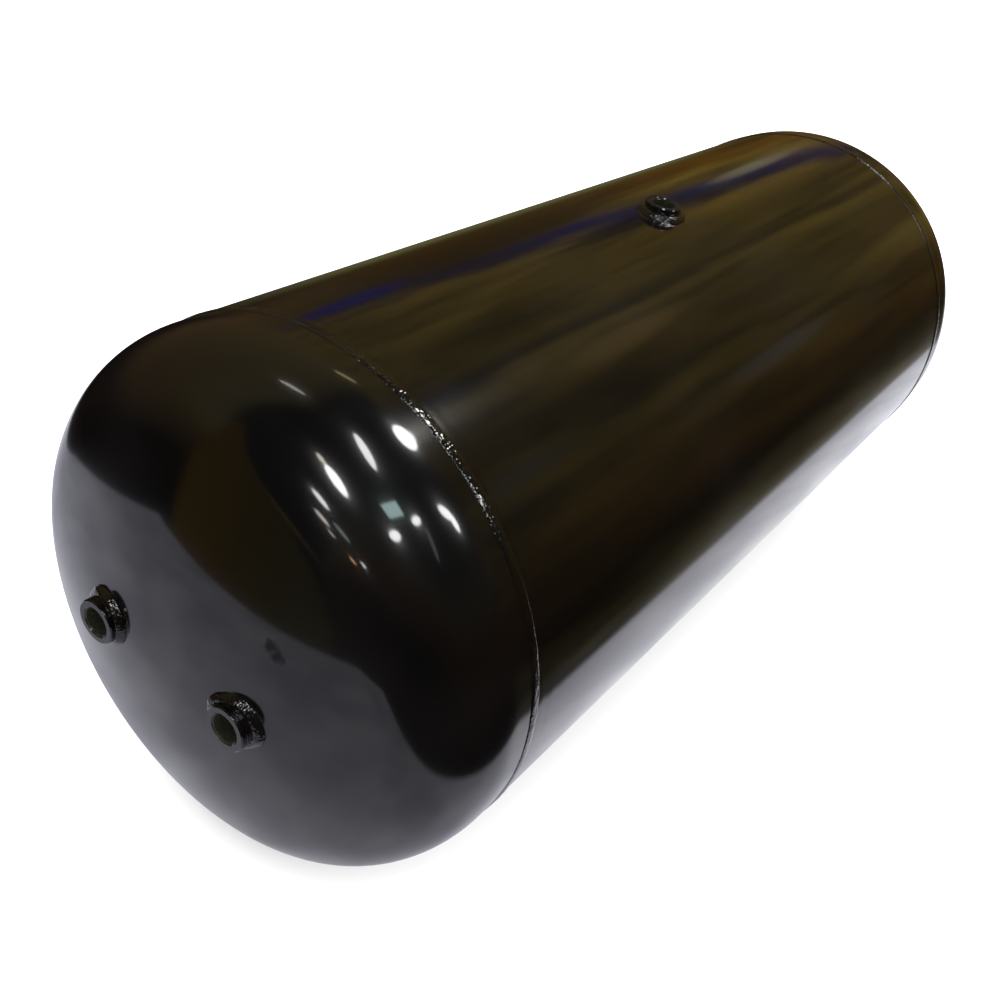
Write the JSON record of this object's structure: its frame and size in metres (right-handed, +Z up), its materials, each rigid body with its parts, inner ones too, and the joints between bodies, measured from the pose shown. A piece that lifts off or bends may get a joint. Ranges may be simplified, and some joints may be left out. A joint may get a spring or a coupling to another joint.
{
  "type": "horizontal pressure tank",
  "caption": "Horizontal cylindrical steel air tank with dished ends, girth welds and threaded ports.",
  "frame": {"origin": "on the floor, under the middle of the tank, where it rests on its two girth welds", "axes": "+X along the tank axis towards the rear head, +Z up through the shell port, +Y towards the side with the lengthwise seam weld"},
  "size_m": [1.0542, 0.3984, 0.4067],
  "materials": {
    "shell_enamel": "gloss black enamel on rolled steel plate",
    "head_enamel": "gloss black enamel on pressed steel",
    "weld_enamel": "gloss black enamel over a rough weld bead",
    "port_enamel": "gloss black enamel on turned steel, thin on the thread"
  },
  "bodies": {
    "root": {"shell": "shell_enamel", "shell_seam_weld": "weld_enamel", "shell_port": "port_enamel", "shell_port_weld": "weld_enamel", "front_head": "head_enamel", "front_girth_weld": "weld_enamel", "front_port_left": "port_enamel", "front_port_left_weld": "weld_enamel", "front_port_right": "port_enamel", "front_port_right_weld": "weld_enamel", "rear_head": "head_enamel", "rear_girth_weld": "weld_enamel", "rear_port_left": "port_enamel", "rear_port_left_weld": "weld_enamel", "rear_port_right": "port_enamel", "rear_port_right_weld": "weld_enamel"}
  },
  "joints": []
}
